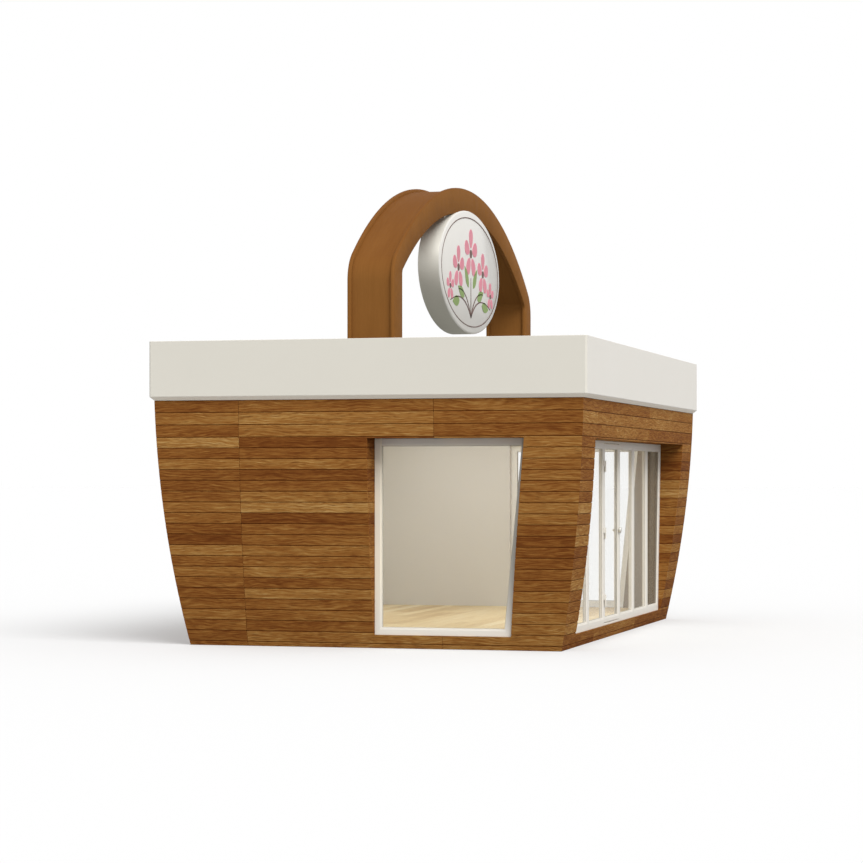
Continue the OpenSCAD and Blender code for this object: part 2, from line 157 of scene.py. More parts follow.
grainMark = dict(tickFrom=0.56, tickTo=0.68, pitFrom=0.30, pitTo=0.52, pitColour=(0.05, 0.025, 0.01, 1),
                 streakHeight=0.5, poreHeight=0.3, tickHeight=0.2, roughShift=0.3, relief=0.002)
# wall ends behind the frames: lining paint, paler than the lining as painted light on the shaded reveals
wallEnds = dict(x=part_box("screen_frame")[0].x, y=-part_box("front_window_frame")[1].y, soft=0.002,
                colour=linear(250, 247, 242))


def wallEndLiningAndLight(wood):  # 1 on the wall ends between the frames and the room, which take the lining paint made paler than the lining: painted light lifting their shade
    spot = wood.place()
    share = 1.0
    for axis, limit in ((0, wallEnds["x"]), (1, wallEnds["y"])):
        away = wood.node("ShaderNodeMath", {"operation": "ABSOLUTE"}, {0: wood.part(spot, axis)})
        share = share * wood.between(away, limit - wallEnds["soft"], limit, 1.0, 0.0)
    return share


def timber(name, look, linedAndLit=False):  # grain runs along grainAt's first axis, boardTone shifts each board
    wood = Finish(name)
    grain = wood.attribute("grainAt", "Vector")
    tone = wood.attribute("boardTone", "Fac")
    wave = wood.noise(grain, grainScale["wave"], 2)
    lift = wood.node("ShaderNodeCombineXYZ", {}, {1: (wave - 0.5) * look["wave"]})
    bent = wood.node("ShaderNodeVectorMath", {"operation": "ADD"}, {0: grain, 1: lift})
    broad = wood.noise(grain, grainScale["broad"], 2)
    band = wood.noise(bent, grainScale["band"], 4, 0.62)
    streak = wood.noise(bent, grainScale["streak"], 4, 0.6)
    dash = wood.noise(bent, grainScale["dash"], 2)
    pore = wood.noise(bent, grainScale["pore"], 2)
    turns = wood.part(bent, 1) * grainScale["rings"] + broad * grainScale["ringDrift"]
    ring = wood.node("ShaderNodeMath", {"operation": "SINE"}, {0: turns})
    shift = (broad - 0.5) * look["broad"] + (band - 0.5) * look["band"] + (streak - 0.5) * look["streak"]
    shift = tone + shift + ring * look["figure"]
    ramp = wood.node("ShaderNodeValToRGB", {"stops": look["stops"]}, {0: shift})
    ticks = wood.between(dash, grainMark["tickFrom"], grainMark["tickTo"])
    pits = wood.between(pore, grainMark["pitFrom"], grainMark["pitTo"], 1.0, 0.0)
    ticked = wood.blend(ticks * look["tick"], ramp, look["stops"][0][1])
    colour = wood.blend(pits * look["pore"], ticked, grainMark["pitColour"])
    # the wall ends get the pale lining colour: lining paint plus painted light
    if linedAndLit:
        colour = wood.blend(wallEndLiningAndLight(wood), colour, wallEnds["colour"])
    raised = streak * grainMark["streakHeight"] + pore * grainMark["poreHeight"]
    relief = wood.bump(raised - ticks * grainMark["tickHeight"], look["bump"], grainMark["relief"])
    return wood.close(Base_Color=colour, Roughness=look["rough"] + (streak - 0.5) * grainMark["roughShift"],
                      Specular_IOR_Level=look["shine"], Normal=relief)


litUnderside = dict(start=-0.3, full=-0.65)  # how far a face looks down, for the painted light on the planter's undersides
litRightFace = dict(start=0.8, full=0.95)  # how far it looks to the right, for the painted light on the planter's right side
pier = dict(start=0.9, full=1.5)  # across the back wall, where the lining is painted darker as painted shade near the screen


def paintedUndersideLight(coat):  # 1 on faces that look at the ground, which the planter paints paler as painted light from below
    facing = coat.node("ShaderNodeTexCoord", {}, {}, "Normal")
    return coat.between(coat.part(facing, 2), litUnderside["start"], litUnderside["full"])


def paintedRightLight(coat):  # 1 on faces that look to the right, which the planter paints paler as painted light
    facing = coat.node("ShaderNodeTexCoord", {}, {}, "Normal")
    return coat.between(coat.part(facing, 0), litRightFace["start"], litRightFace["full"])


def paintedPierShade(coat):  # 1 on the pier between the back window and the screen, which the lining paints darker as painted shade
    return coat.between(coat.part(coat.place(), 0), pier["start"], pier["full"])


def paint(name, colour, rough, peel, cloud, others=()):  # others: more colours, each with its share
    coat = Finish(name)
    spot = coat.place()
    drift = coat.noise(spot, (1.3, 1.3, 1.3), 4)
    fine = coat.noise(spot, (420, 420, 420), 2)
    dull = tuple(part * (1 - cloud * 2) for part in colour[:3]) + (1,)
    base = coat.blend(drift, colour, dull)
    for second, share in others:
        base = coat.blend(share(coat), base, second)
    return coat.close(Base_Color=base, Roughness=rough + (drift - 0.5) * 0.15,
                      Specular_IOR_Level=0.3, Normal=coat.bump(fine, peel, 0.001))


def metal(name, colour, rough, along, shine=1.0):  # brushed, scratches run across the fine axes
    satin = Finish(name)
    hair = satin.noise(satin.place(), along, 3)
    soft = satin.noise(satin.place(), (6, 6, 6), 3)
    shade = tuple(part * 0.86 for part in colour[:3]) + (1,)
    return satin.close(Base_Color=satin.blend(hair, colour, shade), Metallic=shine,
                       Roughness=rough + (hair - 0.5) * 0.2 + (soft - 0.5) * 0.1,
                       Normal=satin.bump(hair, 0.06, 0.0006))


glassLook = dict(tint=linear(232, 234, 232), rough=0.04, shine=0.6, clear=(0.992, 0.992, 0.988, 1),
                 bend=1.38, sheen=0.14, leastSheen=0.004, step=0.01, shadeRough=0.8, shadeShine=0.1)


def clearGlass(name, shade=None):  # shade: colour, cover and the y where the darker pane starts, a dark film that is painted shade
    pane = Finish(name)
    skin = pane.node("ShaderNodeBsdfPrincipled", {}, {
        "Base Color": glassLook["tint"], "Roughness": glassLook["rough"],
        "Specular IOR Level": glassLook["shine"]})
    through = pane.node("ShaderNodeBsdfTransparent", {}, {"Color": glassLook["clear"]})
    edge = pane.node("ShaderNodeFresnel", {}, {"IOR": glassLook["bend"]})
    sheen = edge * glassLook["sheen"] + glassLook["leastSheen"]
    mixed = pane.node("ShaderNodeMixShader", {}, {0: sheen, 1: through, 2: skin})
    if shade:
        colour, cover, start = shade
        along = pane.part(pane.place(), 1)
        share = pane.between(along, start - glassLook["step"], start + glassLook["step"], 0.0, cover)
        dark = pane.node("ShaderNodeBsdfPrincipled", {}, {
            "Base Color": colour, "Roughness": glassLook["shadeRough"],
            "Specular IOR Level": glassLook["shadeShine"]})
        mixed = pane.node("ShaderNodeMixShader", {}, {0: share, 1: mixed, 2: dark})
    return pane.wear(mixed)


def membrane(name, colour):
    sheet = Finish(name)
    grit = sheet.noise(sheet.place(), (260, 260, 260), 3)
    stain = sheet.noise(sheet.place(), (1.1, 1.1, 1.1), 5)
    pale = tuple(min(1, part * 1.35) for part in colour[:3]) + (1,)
    return sheet.close(Base_Color=sheet.blend(stain, colour, pale), Roughness=0.7 + (grit - 0.5) * 0.2,
                       Normal=sheet.bump(grit, 0.25, 0.001))


def joineryPaint(name, others=()):
    return paint(name, linear(226, 221, 211), 0.36, 0.06, 0.015, others)


def liningPaint(name, others=()):
    return paint(name, linear(228, 227, 224), 0.75, 0.12, 0.02, others)


finishes = dict(
    cladding=timber("oiledBoards", cladding, True),
    arch=timber("archTimber", arch),
    flooring=timber("paleFlooring", flooring),
    # the planter's undersides and right faces are painted paler: painted light
    planter=paint("planterWhite", linear(217, 213, 202), 0.45, 0.05, 0.02,
                  [(linear(254, 248, 234), paintedUndersideLight), (linear(223, 219, 211), paintedRightLight)]),
    liner=paint("linerWhite", linear(214, 211, 203), 0.5, 0.05, 0.03),
    joinery=joineryPaint("joineryWhite"),
    lining=liningPaint("creamLining"),
    # the back lining is painted darker on the pier by the screen: painted shade
    farLiningPaintedShade=liningPaint("farLiningPaintedShade", [(linear(163, 152, 138), paintedPierShade)]),
    ceiling=paint("ceilingWhite", linear(238, 236, 230), 0.75, 0.12, 0.02),
    chassis=paint("chassisGrey", linear(110, 112, 114), 0.5, 0.1, 0.1),
    gasket=paint("gasketGrey", linear(186, 181, 170), 0.7, 0.05, 0.03),
    case=metal("signCase", linear(222, 219, 208), 0.5, (30, 30, 700), 0.25),
    steel=metal("satinSteel", linear(236, 234, 228), 0.42, (500, 40, 40), 0.8),
    panel=paint("opalPanel", linear(217, 214, 208), 0.22, 0.01, 0.01),
    glass=clearGlass("clearGlass"),
    roofing=membrane("roofSheet", linear(122, 122, 118)),
    petal=paint("petalPink", linear(226, 132, 150), 0.4, 0.02, 0.12),
    leaf=paint("leafGreen", linear(128, 156, 72), 0.4, 0.02, 0.12),
    stem=paint("stemBrown", linear(92, 58, 44), 0.4, 0.02, 0.08),
)
print("finishes made:", len(finishes))


def piece(name, mesh, finish, body="pavilion", covers=()):
    made = bpy.data.objects.new(name, mesh)
    bpy.context.scene.collection.objects.link(made)
    mesh.materials.append(finishes[finish])
    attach(made, body)
    if covers:
        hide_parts(*covers)


def dress(node, finish):  # a part of the frame that keeps its own shape
    nodes[node].data.materials.clear()
    nodes[node].data.materials.append(finishes[finish])


def shut(name, work, smooth=False):  # bmesh to mesh, faces turned outwards
    bmesh.ops.recalc_face_normals(work, faces=work.faces)
    mesh = bpy.data.meshes.new(name)
    work.to_mesh(mesh)
    work.free()
    if smooth:
        mesh.shade_smooth()
        mesh.set_sharp_from_angle(angle=math.radians(32))
    return mesh


def loft(work, rings, closed=False):  # skins a list of point rings, caps the ends unless closed
    made = [[work.verts.new(point) for point in ring] for ring in rings]
    faces = []
    pairs = list(zip(made, made[1:]))
    if closed:
        pairs.append((made[-1], made[0]))
    for low, high in pairs:
        for here in range(len(low)):
            there = (here + 1) % len(low)
            faces.append(work.faces.new((low[here], low[there], high[there], high[here])))
    if not closed:
        faces.append(work.faces.new(list(reversed(made[0]))))
        faces.append(work.faces.new(made[-1]))
    return faces


def grainLayers(mesh, toneOf, grainOf):  # per face board tone, per corner grain place
    grain = mesh.attributes.new("grainAt", "FLOAT_VECTOR", "CORNER")
    tone = mesh.attributes.new("boardTone", "FLOAT", "FACE")
    for polygon in mesh.polygons:
        tone.data[polygon.index].value = toneOf(polygon)
        for corner in polygon.loop_indices:
            vertex = mesh.vertices[mesh.loops[corner].vertex_index]
            grain.data[corner].vector = grainOf(polygon, vertex)


def boardLayers(mesh, tones, lines):  # tones holds the tone and the grain offset of each face
    grainLayers(mesh, lambda polygon: tones[polygon.index][0],
                lambda polygon, vertex: lines(polygon, vertex.co) + tones[polygon.index][1])


def grainOffset():  # another part of the log for each board
    return Vector((dice.uniform(0, 40), dice.uniform(0, 40), dice.uniform(0, 40)))


def boardLines(polygon, point):  # grain runs level across each face
    normal = polygon.normal
    level = Vector((-normal.y, normal.x, 0))
    if level.length < 0.3:  # a face that lies almost flat
        level = Vector((1, 0, 0))
    level.normalize()
    return Vector((point.dot(level), point.z, point.dot(normal)))


# sizes of the body, read from the frame where it holds them
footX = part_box("screen_frame")[1].x
footY = -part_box("front_window_frame")[0].y
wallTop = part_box("left_wall")[1].z
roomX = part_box("floor_boards")[1].x
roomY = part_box("floor_boards")[1].y
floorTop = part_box("floor_boards")[1].z
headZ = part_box("front_header")[0].z
bulgeRadius = 15.0
bulgeHeight = 3.0
bulgeAtFoot = math.sqrt(bulgeRadius ** 2 - bulgeHeight ** 2)


def bulge(z):
    return math.sqrt(bulgeRadius ** 2 - (bulgeHeight - z) ** 2) - bulgeAtFoot


def corners(node, axis):  # four corners of an upright outline: low left, low right, high right, high left
    points = [(vertex.co[axis], vertex.co.z) for vertex in nodes[node].data.vertices]
    low = min(z for _, z in points)
    high = max(z for _, z in points)
    atLow = [u for u, z in points if z < low + 0.001]
    atHigh = [u for u, z in points if z > high - 0.001]
    return [(min(atLow), low), (max(atLow), low), (max(atHigh), high), (min(atHigh), high)]


windowQuad = corners("front_window_frame", 0)
screenQuad = corners("screen_frame", 1)


def slant(low, high, z):  # place of a leaning edge at a height
    return low[0] + (high[0] - low[0]) * (z - low[1]) / (high[1] - low[1])


boards = dict(
    plinth=0.049, lowerTop=2.239, lowerCount=19, upperCount=3,
    groove=0.0062, grooveDepth=0.006, grooveTone=-0.3, arris=0.0036, buttGap=0.0016, endShift=0.002,
    endJoints=[-1.40], overJoints=[-1.40, 0.755], sillJoints=[-1.40, 0.775],
    sideJoints=[-2.05, 0.65], sideSill=[-1.5, 0.85], plainJoints=[-1.95, 0.15, 2.15],
    toneSpread=0.09, toneMiddle=0.52, stagger=0.55, staggerBeat=7.3)

# boards that stand out to the eye, as (run along the wall, course from the foot up)
accents = dict(
    end=dict(
        pale=[(0, 19), (1, 13)],
        warm=[(0, 9), (0, 17), (1, 0), (1, 1), (1, 5), (1, 20), (1, 21), (2, 0), (2, 1), (2, 2), (2, 19)],
        deep=[(0, 1), (0, 16), (1, 18), (2, 7), (2, 11)],
        dark=[(0, 10), (1, 12), (1, 16), (1, 19), (2, 10)]),
    side=dict(
        pale=[(0, 13), (0, 21), (1, 14)],
        warm=[(0, 7), (0, 11), (1, 8), (1, 10), (1, 12), (1, 15), (1, 21), (2, 21)],
        deep=[(0, 8), (1, 11), (1, 18)],
        dark=[(0, 0), (1, 2), (1, 9), (1, 17)]))
accentTones = dict(pale=0.78, warm=0.66, deep=0.42, dark=0.31)


def courses():  # each course as its number and slices of (low, high, joint below, joint above)
    low, top = boards["plinth"], boards["lowerTop"]
    lower, upper = boards["lowerCount"], boards["upperCount"]
    levels = [0] + [low + (top - low) * step / lower for step in range(lower + 1)]
    levels += [top + (wallTop - top) * step / upper for step in range(1, upper + 1)]
    slices = []
    for course, (low, high) in enumerate(zip(levels, levels[1:])):
        cuts = [low] + [cut for cut in (floorTop, headZ) if low < cut < high] + [high]
        for start, end in zip(cuts, cuts[1:]):
            slices.append((course, start, end, start == low, end == high))
    return slices


def outline(z, sunk, foot, other, left, right, inner):  # plan of a board: along the wall, out from the middle
    out = foot + bulge(z) - sunk
    cut = boards["arris"]
    points = []
    for side, end in ((-1, left), (1, right)):
        if end is None:  # mitred corner
            tip = [(side * (other + out - foot + sunk), out)]
            root = (side * (other + inner - foot), inner)
        else:
            at = end(z) - side * min(sunk, boards["endShift"])
            tip = [(at, out - cut), (at - side * cut, out)]
            root = (at, inner)
        points.append((tip if side < 0 else tip[::-1], root))
    (leftTip, leftRoot), (rightTip, rightRoot) = points
    return [leftRoot] + leftTip + rightTip + [rightRoot]


def boardRings(part, run, foot, other, inner, place):  # rings up a board, and which strips lie in a groove
    low, high, jointBelow, jointAbove = part
    half = boards["groove"] / 2
    deep = boards["grooveDepth"]
    edge = boards["arris"]
    steps = [(low, 0)]
    if low == 0:
        steps = [(low, edge), (low + edge, 0)]
    elif jointBelow:
        steps = [(low, deep), (low + half, deep), (low + half, edge), (low + half + edge, 0)]
    steps.append(((low + high) / 2, 0))
    if jointAbove:
        steps += [(high - half - edge, 0), (high - half, edge), (high - half, deep), (high, deep)]
    else:
        steps.append((high, 0))
    rings = [[place(u, w, z) for u, w in outline(z, sunk, foot, other, *run, inner)] for z, sunk in steps]
    return rings, [max(below[1], above[1]) > edge for below, above in zip(steps, steps[1:])]


def fixedEnd(at):
    return lambda z: at


def leaningEnd(low, high):
    return lambda z: slant(low, high, z)


def splitRun(left, right, joints):  # cuts a run of boarding at its butt joints
    gap = boards["buttGap"] / 2
    runs = []
    start = left
    for joint in joints:
        runs.append((start, fixedEnd(joint - gap)))
        start = fixedEnd(joint + gap)
    runs.append((start, right))
    return runs


def boardedWall(name, foot, other, inner, place, runsOf, covers, marked=None):
    work = bmesh.new()
    tones = []
    cut = {}
    chosen = {board: accentTones[look] for look, spots in (marked or {}).items() for board in spots}
    for course, *part in courses():
        for number, run in enumerate(runsOf(part[0], part[1])):
            if (course, number) not in cut:  # slices of one board share its tone and grain
                value = dice.gauss(boards["toneMiddle"], boards["toneSpread"])
                cut[course, number] = (chosen.get((number, course), value), grainOffset())
            rings, sunken = boardRings(part, run, foot, other, inner, place)
            loft(work, rings)
            value, offset = cut[course, number]
            for dark in sunken:
                tones += [(boards["grooveTone"] if dark else value, offset)] * len(rings[0])
            tones += [(value, offset)] * 2  # the two ends of the loft
    mesh = shut(name, work)
    boardLayers(mesh, tones, boardLines)
    piece(name, mesh, "cladding", covers=covers)


def endRuns(low, high):  # the two end walls, with the window right of the middle
    middle = (low + high) / 2
    if middle < floorTop:
        return splitRun(None, None, boards["sillJoints"])
    if middle > headZ:
        return splitRun(None, None, boards["overJoints"])
    jamb = fixedEnd(windowQuad[0][0])
    return splitRun(None, jamb, boards["endJoints"]) + [(leaningEnd(windowQuad[1], windowQuad[2]), None)]


def screenRuns(low, high):  # the wall with the screen
    middle = (low + high) / 2
    stagger = boards["stagger"] * math.sin(low * boards["staggerBeat"])
    if middle < floorTop:
        return splitRun(None, None, boards["sideSill"])
    if middle > headZ:
        return splitRun(None, None, [joint + stagger for joint in boards["sideJoints"]])
    front = leaningEnd(screenQuad[0], screenQuad[3])
    back = leaningEnd(screenQuad[1], screenQuad[2])
    return [(None, front), (back, None)]


def plainRuns(low, high):
    return splitRun(None, None, boards["plainJoints"])


boardedWall("frontBoards", footY, footX, roomY, lambda u, w, z: Vector((u, -w, z)), endRuns,
            ("front_wall_left", "front_wall_right", "front_header", "front_sill"), accents["end"])
boardedWall("backBoards", footY, footX, roomY, lambda u, w, z: Vector((u, w, z)), endRuns,
            ("back_wall_left", "back_wall_right", "back_header", "back_sill"))
boardedWall("screenSideBoards", footX, footY, roomX, lambda u, w, z: Vector((w, u, z)), screenRuns,
            ("right_wall_front", "right_wall_back", "right_header", "right_sill"), accents["side"])
boardedWall("plainSideBoards", footX, footY, roomX, lambda u, w, z: Vector((-w, u, z)), plainRuns,
            ("left_wall",))
print("walls boarded")


floorStrips = dict(width=0.138, gap=0.0012, arris=0.0016, length=2.4, firstLeast=0.5, shortest=0.3,
                   toneMiddle=0.5, toneSpread=0.16, toneLeast=0.05, toneMost=0.95)


def levelRing(x0, y0, x1, y1, z):  # rectangle at a height
    return [Vector((x, y, z)) for x, y in ((x0, y0), (x1, y0), (x1, y1), (x0, y1))]


def floorBoards():
    low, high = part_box("floor_boards")
    count = round((high.x - low.x) / floorStrips["width"])
    width = (high.x - low.x) / count
    gap = floorStrips["gap"] / 2
    edge = floorStrips["arris"]
    work = bmesh.new()
    tones = []
    for strip in range(count):
        start = low.y
        end = low.y + dice.uniform(floorStrips["firstLeast"], floorStrips["length"])
        x0 = low.x + strip * width + gap
        x1 = low.x + (strip + 1) * width - gap
        while start < high.y:
            end = min(end, high.y)
            if high.y - end < floorStrips["shortest"]:
                end = high.y
            rings = [levelRing(x0 + inset, start + gap + inset, x1 - inset, end - gap - inset, z)
                     for z, inset in ((low.z, 0), (high.z - edge, 0), (high.z, edge))]
            faces = loft(work, rings)
            offset = grainOffset()
            tone = dice.gauss(floorStrips["toneMiddle"], floorStrips["toneSpread"])
            tone = min(floorStrips["toneMost"], max(floorStrips["toneLeast"], tone))
            tones += [(tone, offset)] * len(faces)
            start = end
            end = start + floorStrips["length"]
    mesh = shut("floorStrips", work)
    boardLayers(mesh, tones, lambda polygon, point: Vector((point.y, point.x, point.z)))
    piece("floorStrips", mesh, "flooring", covers=("floor_boards",))


floorBoards()
print("floor laid")


def insetQuad(quad, by):  # moves each edge of a convex outline inwards
    count = len(quad)
    lines = []
    for here in range(count):
        start = Vector(quad[here])
        end = Vector(quad[(here + 1) % count])
        along = (end - start).normalized()
        inward = Vector((-along.y, along.x)) * by
        lines.append((start + inward, along))
    result = []
    for here in range(count):
        start, along = lines[here - 1]
        other, across = lines[here]
        gap = other - start
        share = (gap.x * across.y - gap.y * across.x) / (along.x * across.y - along.y * across.x)
        result.append(tuple(start + along * share))
    return result


def ringFrame(work, outer, width, profile, place):  # members round an outline, profile is (across, depth)
    inner = insetQuad(outer, width)
    rings = []
    for far, near in zip(outer, inner):
        ring = []
        for across, depth in profile:
            share = across / width
            along = far[0] + (near[0] - far[0]) * share
            ring.append(place(along, depth, far[1] + (near[1] - far[1]) * share))
        rings.append(ring)
    loft(work, rings, closed=True)
    return inner


joinery = dict(edge=0.003, bead=0.014, beadStep=0.005, gasketWidth=0.005, gasketProud=0.0025, gasketFlat=0.6,
               windowWidth=0.080, windowDepth=0.060, frameWidth=0.025, frameDepth=0.070,
               leafWidth=0.066, leafDepth=0.050, glassBack=0.016, glassThick=0.020, shadowGap=0.0012)


def memberProfile(width, depth, beaded=True):
    edge = joinery["edge"]
    bead = joinery["bead"]
    step = joinery["beadStep"]
    if not beaded:
        return [(0, edge), (edge, 0), (width - edge, 0), (width, edge),
                (width, depth - edge), (width - edge, depth), (edge, depth), (0, depth - edge)]
    front = [(0, edge), (edge, 0), (width - bead - edge, 0), (width - bead, step),
             (width - edge, step), (width, step + edge)]
    return front + [(across, depth - deep) for across, deep in reversed(front)]


def gasketProfile():
    wide = joinery["gasketWidth"]
    proud = joinery["gasketProud"]
    front = joinery["glassBack"]
    return [(0, front - proud), (wide * joinery["gasketFlat"], front - proud), (wide, front), (0, front)]


def framed(name, outer, width, depth, place, body, covers, finish="joinery"):  # gives the outline of its pane
    work = bmesh.new()
    inner = ringFrame(work, outer, width, memberProfile(width, depth), place)
    piece(name, shut(name, work), finish, body, covers)
    return inner


def gaskets(name, inners, place, body="pavilion"):
    work = bmesh.new()
    back = 2 * joinery["glassBack"] + joinery["glassThick"]
    for inner in inners:
        ringFrame(work, inner, joinery["gasketWidth"], gasketProfile(), place)
        behind = [(across, back - depth) for across, depth in gasketProfile()]
        ringFrame(work, inner, joinery["gasketWidth"], behind, place)
    piece(name, shut(name, work), "gasket", body)


def frontPlace(u, depth, z):
    return Vector((u, depth - footY, z))


def backPlace(u, depth, z):
    return Vector((u, footY - depth, z))


def sidePlace(u, depth, z):
    return Vector((footX - depth, u, z))


# colours painted on window frame members as light and shade: a warm painted light on the upright stile, a
# painted shade on the leaning stile and a painted light on the room side of the back frame
memberLightAndShade = dict(soft=0.002, footClear=0.05, uprightReach=0.6, leaningReach=0.8,
                   upright=linear(240, 233, 215), leaning=linear(187, 185, 177),
                   roomSideLight=linear(246, 246, 244))


def fromFoot(coat, height, reach):  # 0 at the foot of the window, 1 from a height up
    low = windowQuad[0][1]
    return coat.between(height, low + memberLightAndShade["footClear"], low + reach)


def uprightStileLight(coat):  # 1 on the upright side of the window frame, which is painted warmer and paler as painted light
    spot = coat.place()
    limit = windowQuad[0][0] + joinery["windowWidth"]
    side = coat.between(coat.part(spot, 0), limit, limit + memberLightAndShade["soft"], 1.0, 0.0)
    return side * fromFoot(coat, coat.part(spot, 2), memberLightAndShade["uprightReach"])


def leaningStileShade(coat):  # 1 on the leaning side of the window frame, which is painted darker as painted shade
    spot = coat.place()
    height = coat.part(spot, 2)
    (footAt, low), (headAt, high) = windowQuad[1], windowQuad[2]
    away = coat.part(spot, 0) - (height - low) * ((headAt - footAt) / (high - low))
    limit = footAt - joinery["windowWidth"]
    side = coat.between(away, limit - 2 * memberLightAndShade["soft"], limit - memberLightAndShade["soft"])
    return side * fromFoot(coat, height, memberLightAndShade["leaningReach"])


def roomSideLight(coat):  # 1 on the half of the back window that looks into the room, which is painted paler as painted light
    middle = footY - joinery["windowDepth"] / 2
    return coat.between(coat.part(coat.place(), 1), middle - memberLightAndShade["soft"], middle, 1.0, 0.0)


# the front frame carries painted light on its upright stile and painted shade on its leaning stile
finishes["frontFrame"] = joineryPaint("frontFrame", [(memberLightAndShade["upright"], uprightStileLight),
                                                     (memberLightAndShade["leaning"], leaningStileShade)])
# the back frame's room side is painted paler: painted light
finishes["backFrame"] = joineryPaint("backFrame", [(memberLightAndShade["roomSideLight"], roomSideLight)])
for name, place in (("front", frontPlace), ("back", backPlace)):
    pane = framed(name + "WindowFrame", windowQuad, joinery["windowWidth"], joinery["windowDepth"], place,
                  "pavilion", (name + "_window_frame",), name + "Frame")
    gaskets(name + "WindowGasket", [pane], place)
print("windows framed")

doorLow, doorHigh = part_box("door_leaf")
doorGap = -doorHigh.y
bayWidth = doorGap - doorLow.y
leafLow = doorLow.z - doorGap
leafHigh = doorHigh.z + doorGap


def screenFrame():
    work = bmesh.new()
    width = joinery["frameWidth"]
    ringFrame(work, screenQuad, width, memberProfile(width, joinery["frameDepth"], False), sidePlace)
    piece("screenFrame", shut("screenFrame", work), "joinery", covers=("screen_frame",))


def bayQuad(start, end):  # upright leaf
    gap = joinery["shadowGap"]
    return [(start + gap, leafLow), (end - gap, leafLow), (end - gap, leafHigh), (start + gap, leafHigh)]


def endQuad(side):  # slanted leaf at one end of the screen
    inside = insetQuad(screenQuad, joinery["frameWidth"])
    gap = joinery["shadowGap"]
    straight = side * (2 * bayWidth + gap)
    if side > 0:
        return [(straight, leafLow), inside[1], inside[2], (straight, leafHigh)]
    return [inside[0], (straight, leafLow), (straight, leafHigh), inside[3]]


def screenLeaves(name, quads, covers):
    work = bmesh.new()
    panes = []
    for quad in quads:
        profile = memberProfile(joinery["leafWidth"], joinery["leafDepth"])
        panes.append(ringFrame(work, quad, joinery["leafWidth"], profile, sidePlace))
    piece(name, shut(name, work), "joinery", covers=covers)
    gaskets(name + "Gasket", panes, sidePlace)


screenFrame()
screenLeaves("frontLeaves", [endQuad(-1), bayQuad(-2 * bayWidth, -bayWidth)], ("screen_leaves_front",))
screenLeaves("backLeaves", [bayQuad(0, bayWidth), bayQuad(bayWidth, 2 * bayWidth), endQuad(1)],
             ("screen_leaves_back",))
doorQuad = [(doorLow.y, doorLow.z), (doorHigh.y, doorLow.z),
            (doorHigh.y, doorHigh.z), (doorLow.y, doorHigh.z)]
doorPane = framed("doorFrame", doorQuad, joinery["leafWidth"] - doorGap, joinery["leafDepth"], sidePlace,
                  "door", ("door_leaf",))
gaskets("doorGasket", [doorPane], sidePlace, "door")
print("screen and door framed")


ironwork = dict(turns=48, hingeRound=0.0008, knobRadius=0.038, knobRim=0.012, rimSteps=12,
                rose=[(0, 0.021), (0, 0.022), (0.004, 0.022), (0.006, 0.020)],  # along, radius
                knobNeck=[(0.006, 0.011)], neckEnd=(0.001, 0.0098), neckFlare=0.013,
                knobFace=[(0.0006, 0.016), (0.0022, 0.012), (0.0022, 0.001)],  # below the front, radius
                turnNeck=[(0.006, 0.0125), (0.007, 0.012)],
                turnFace=[(0.002, 0.012), (0.0006, 0.0114), (0, 0.010), (0, 0.001)])


def lathe(work, profile, turn):  # profile of (along, radius) spun round an axis
    angles = [math.tau * step / ironwork["turns"] for step in range(ironwork["turns"])]
    loft(work, [[turn(along, radius * math.cos(angle), radius * math.sin(angle)) for angle in angles]
                for along, radius in profile])


def turnProfile(reach):  # low thumb turn on its rose
    face = [(reach - below, radius) for below, radius in ironwork["turnFace"]]
    return ironwork["rose"] + ironwork["turnNeck"] + face


def knobProfile(reach):  # from the leaf face outwards
    rim = ironwork["knobRim"]
    steps = ironwork["rimSteps"]
    below, radius = ironwork["neckEnd"]
    profile = ironwork["rose"] + ironwork["knobNeck"]
    profile += [(reach - 2 * rim - below, radius), (reach - 2 * rim, ironwork["neckFlare"])]
    for step in range(steps + 1):
        angle = -math.pi / 2 + math.pi * step / steps
        across = ironwork["knobRadius"] - rim + rim * math.cos(angle)
        profile.append((reach - rim + rim * math.sin(angle), across))
    return profile + [(reach - below, radius) for below, radius in ironwork["knobFace"]]


def doorKnob():
    low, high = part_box("door_knob")
    middle = (low + high) / 2
    work = bmesh.new()
    room = footX - joinery["leafDepth"]
    outside = (footX, 1, knobProfile(high.x - footX))
    inside = (room, -1, turnProfile(room - low.x))
    for face, side, profile in (outside, inside):
        lathe(work, profile, lambda along, a, b: Vector((face + side * along, middle.y + a, middle.z + b)))
    piece("doorKnob", shut("doorKnob", work, True), "steel", "door", ("door_knob",))


doorKnob()
for node, finish in (("door_hinges", "joinery"), ("frame_hinges", "joinery"), ("sign_brackets", "steel")):
    dress(node, finish)
    soften = nodes[node].modifiers.new("softEdges", "BEVEL")
    soften.width = ironwork["hingeRound"]
    soften.segments = 2
    soften.limit_method = "ANGLE"
print("knob and hinges made")


planter = dict(cornerCut=0.018, linerCut=0.002, leastCut=0.001, bevel=0.040, bevelRound=0.003,
               rimRound=0.004, roundShare=0.3)


def planRing(halfX, halfY, cut):  # rectangle with cut corners
    return [(halfX - cut, -halfY), (halfX, -halfY + cut), (halfX, halfY - cut), (halfX - cut, halfY),
            (-halfX + cut, halfY), (-halfX, halfY - cut), (-halfX, -halfY + cut), (-halfX + cut, -halfY)]


def boxRing(name, halfX, halfY, cut, profile, finish, covers):  # profile is (inwards, height)
    work = bmesh.new()
    rings = []
    for inwards, z in profile:
        left = max(cut - inwards * (2 - math.sqrt(2)), planter["leastCut"])
        rings.append([Vector((x, y, z)) for x, y in planRing(halfX - inwards, halfY - inwards, left)])
    loft(work, rings, closed=True)
    piece(name, shut(name, work), finish, covers=covers)


